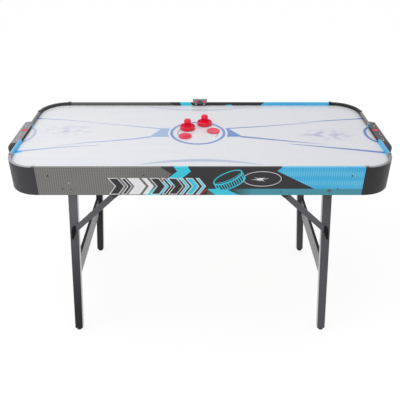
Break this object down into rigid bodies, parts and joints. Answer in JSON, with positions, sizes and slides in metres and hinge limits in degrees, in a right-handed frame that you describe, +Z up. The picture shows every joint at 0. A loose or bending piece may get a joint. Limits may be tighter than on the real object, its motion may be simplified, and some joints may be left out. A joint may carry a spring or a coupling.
{
  "type": "air hockey table",
  "caption": "Folding air hockey table: printed boards, rounded corners, white air field with goal boxes, clip-on scorer, two braced leg frames, pushers and pucks.",
  "frame": {"origin": "on the floor under the table's centre", "axes": "+X right along the table, +Y to the rear board with the scorer, +Z up"},
  "size_m": [1.448, 0.6295, 0.821],
  "materials": {
    "board_print": "printed film on board, satin",
    "board_raw": "bare fibreboard",
    "field": "smooth white laminate with print",
    "black_plastic": "moulded, satin",
    "fan_plastic": "moulded, matt",
    "leg_steel": "dark powder coat",
    "panel_grey": "grey melamine on particle board, black edge band",
    "zinc": "zinc plated",
    "motor_steel": "dark steel",
    "red_plastic": "glossy moulded red",
    "felt": "pressed felt",
    "scorer_grey": "moulded, satin",
    "display_red": "clear red window"
  },
  "bodies": {
    "table_top": {"front_board": "board_print", "rear_board": "board_print", "left_end_board": "board_print", "right_end_board": "board_print", "corner_front_left": "black_plastic", "corner_front_right": "black_plastic", "corner_rear_left": "black_plastic", "corner_rear_right": "black_plastic", "playfield": "field", "batten_front": "board_raw", "batten_rear": "board_raw", "batten_left": "board_raw", "batten_right": "board_raw", "chamber_panel": "board_raw", "fan_housing": "fan_plastic", "fan_motor": "motor_steel", "fan_guard": "zinc", "switch_housing": "black_plastic", "power_jack": "black_plastic", "goal_box_left": "black_plastic", "goal_box_right": "black_plastic", "scorer_housing": "scorer_grey", "scorer_display_left": "display_red", "scorer_display_right": "display_red", "hinge_bolt_front_left": "zinc", "brace_screw_front_left": "zinc", "hinge_bolt_front_right": "zinc", "brace_screw_front_right": "zinc", "hinge_bolt_rear_left": "zinc", "brace_screw_rear_left": "zinc", "hinge_bolt_rear_right": "zinc", "brace_screw_rear_right": "zinc"},
    "leg_frame_left": {"leg_front_left": "leg_steel", "leg_rear_left": "leg_steel", "cross_panel_left": "panel_grey"},
    "brace_front_left": {"brace_front_left": "leg_steel"},
    "lock_lever_front_left": {"lock_lever_front_left": "black_plastic"},
    "foot_front_left": {"foot_front_left": "black_plastic"},
    "brace_rear_left": {"brace_rear_left": "leg_steel"},
    "lock_lever_rear_left": {"lock_lever_rear_left": "black_plastic"},
    "foot_rear_left": {"foot_rear_left": "black_plastic"},
    "leg_frame_right": {"leg_front_right": "leg_steel", "leg_rear_right": "leg_steel", "cross_panel_right": "panel_grey"},
    "brace_front_right": {"brace_front_right": "leg_steel"},
    "lock_lever_front_right": {"lock_lever_front_right": "black_plastic"},
    "foot_front_right": {"foot_front_right": "black_plastic"},
    "brace_rear_right": {"brace_rear_right": "leg_steel"},
    "lock_lever_rear_right": {"lock_lever_rear_right": "black_plastic"},
    "foot_rear_right": {"foot_rear_right": "black_plastic"},
    "fan_impeller": {"fan_impeller": "fan_plastic"},
    "switch_rocker": {"switch_rocker": "black_plastic"},
    "scorer_button_left": {"scorer_button_left": "scorer_grey"},
    "pusher_left": {"pusher_left": "red_plastic", "pusher_left_felt": "felt"},
    "puck_left": {"puck_left": "red_plastic"},
    "scorer_button_right": {"scorer_button_right": "scorer_grey"},
    "pusher_right": {"pusher_right": "red_plastic", "pusher_right_felt": "felt"},
    "puck_right": {"puck_right": "red_plastic"}
  },
  "joints": [
    {"name": "fold_left", "type": "hinge", "parent": "table_top", "child": "leg_frame_left", "pos_m": [-0.4555, 0, 0.698], "axis": [0, -1, 0], "range_deg": [0, 94.7]},
    {"name": "brace_front_left_swing", "type": "hinge", "parent": "table_top", "child": "brace_front_left", "pos_m": [-0.252, -0.2985, 0.724], "axis": [0, -1, 0], "range_deg": [0, 136.5]},
    {"name": "lock_lever_front_left_turn", "type": "hinge", "parent": "leg_frame_left", "child": "lock_lever_front_left", "pos_m": [-0.47041, -0.3, 0.51611], "axis": [0, 1, 0], "range_deg": [0, 40]},
    {"name": "foot_front_left_screw", "type": "slide", "parent": "leg_frame_left", "child": "foot_front_left", "axis": [-0.0817, 0, -0.9967], "range_m": [0, 0.01]},
    {"name": "brace_rear_left_swing", "type": "hinge", "parent": "table_top", "child": "brace_rear_left", "pos_m": [-0.252, 0.2985, 0.724], "axis": [0, -1, 0], "range_deg": [0, 136.5]},
    {"name": "lock_lever_rear_left_turn", "type": "hinge", "parent": "leg_frame_left", "child": "lock_lever_rear_left", "pos_m": [-0.47041, 0.3, 0.51611], "axis": [0, 1, 0], "range_deg": [0, 40]},
    {"name": "foot_rear_left_screw", "type": "slide", "parent": "leg_frame_left", "child": "foot_rear_left", "axis": [-0.0817, 0, -0.9967], "range_m": [0, 0.01]},
    {"name": "fold_right", "type": "hinge", "parent": "table_top", "child": "leg_frame_right", "pos_m": [0.4555, 0, 0.698], "axis": [0, 1, 0], "range_deg": [0, 85]},
    {"name": "brace_front_right_swing", "type": "hinge", "parent": "table_top", "child": "brace_front_right", "pos_m": [0.252, -0.2985, 0.724], "axis": [0, 1, 0], "range_deg": [0, 122.6]},
    {"name": "lock_lever_front_right_turn", "type": "hinge", "parent": "leg_frame_right", "child": "lock_lever_front_right", "pos_m": [0.47041, -0.3, 0.51611], "axis": [0, -1, 0], "range_deg": [0, 40]},
    {"name": "foot_front_right_screw", "type": "slide", "parent": "leg_frame_right", "child": "foot_front_right", "axis": [0.0817, 0, -0.9967], "range_m": [0, 0.01]},
    {"name": "brace_rear_right_swing", "type": "hinge", "parent": "table_top", "child": "brace_rear_right", "pos_m": [0.252, 0.2985, 0.724], "axis": [0, 1, 0], "range_deg": [0, 122.6]},
    {"name": "lock_lever_rear_right_turn", "type": "hinge", "parent": "leg_frame_right", "child": "lock_lever_rear_right", "pos_m": [0.47041, 0.3, 0.51611], "axis": [0, -1, 0], "range_deg": [0, 40]},
    {"name": "foot_rear_right_screw", "type": "slide", "parent": "leg_frame_right", "child": "foot_rear_right", "axis": [0.0817, 0, -0.9967], "range_m": [0, 0.01]},
    {"name": "fan_spin", "type": "hinge", "parent": "table_top", "child": "fan_impeller", "pos_m": [0.15, 0, 0.72], "axis": [0, 0, 1], "continuous": true},
    {"name": "switch_rock", "type": "hinge", "parent": "table_top", "child": "switch_rocker", "pos_m": [-0.46, -0.308, 0.729], "axis": [0, 0, 1], "range_deg": [-12.6, 0]},
    {"name": "scorer_button_left_press", "type": "slide", "parent": "table_top", "child": "scorer_button_left", "axis": [0, 1, 0], "range_m": [0, 0.0012], "stiffness_N_per_m": 400},
    {"name": "pusher_left_slide", "type": "slide", "parent": "table_top", "child": "pusher_left", "axis": [-1, 0, 0], "range_m": [0, 0.597]},
    {"name": "puck_left_slide", "type": "slide", "parent": "table_top", "child": "puck_left", "axis": [-1, 0, 0], "range_m": [0, 0.594]},
    {"name": "scorer_button_right_press", "type": "slide", "parent": "table_top", "child": "scorer_button_right", "axis": [0, 1, 0], "range_m": [0, 0.0012], "stiffness_N_per_m": 400},
    {"name": "pusher_right_slide", "type": "slide", "parent": "table_top", "child": "pusher_right", "axis": [1, 0, 0], "range_m": [0, 0.628]},
    {"name": "puck_right_slide", "type": "slide", "parent": "table_top", "child": "puck_right", "axis": [1, 0, 0], "range_m": [0, 0.6]}
  ],
  "couplings": [
    {"joint": "brace_front_left_swing", "follows": "fold_left", "ratio": 1.4405},
    {"joint": "brace_rear_left_swing", "follows": "fold_left", "ratio": 1.4405},
    {"joint": "brace_front_right_swing", "follows": "fold_right", "ratio": 1.4405},
    {"joint": "brace_rear_right_swing", "follows": "fold_right", "ratio": 1.4405}
  ]
}
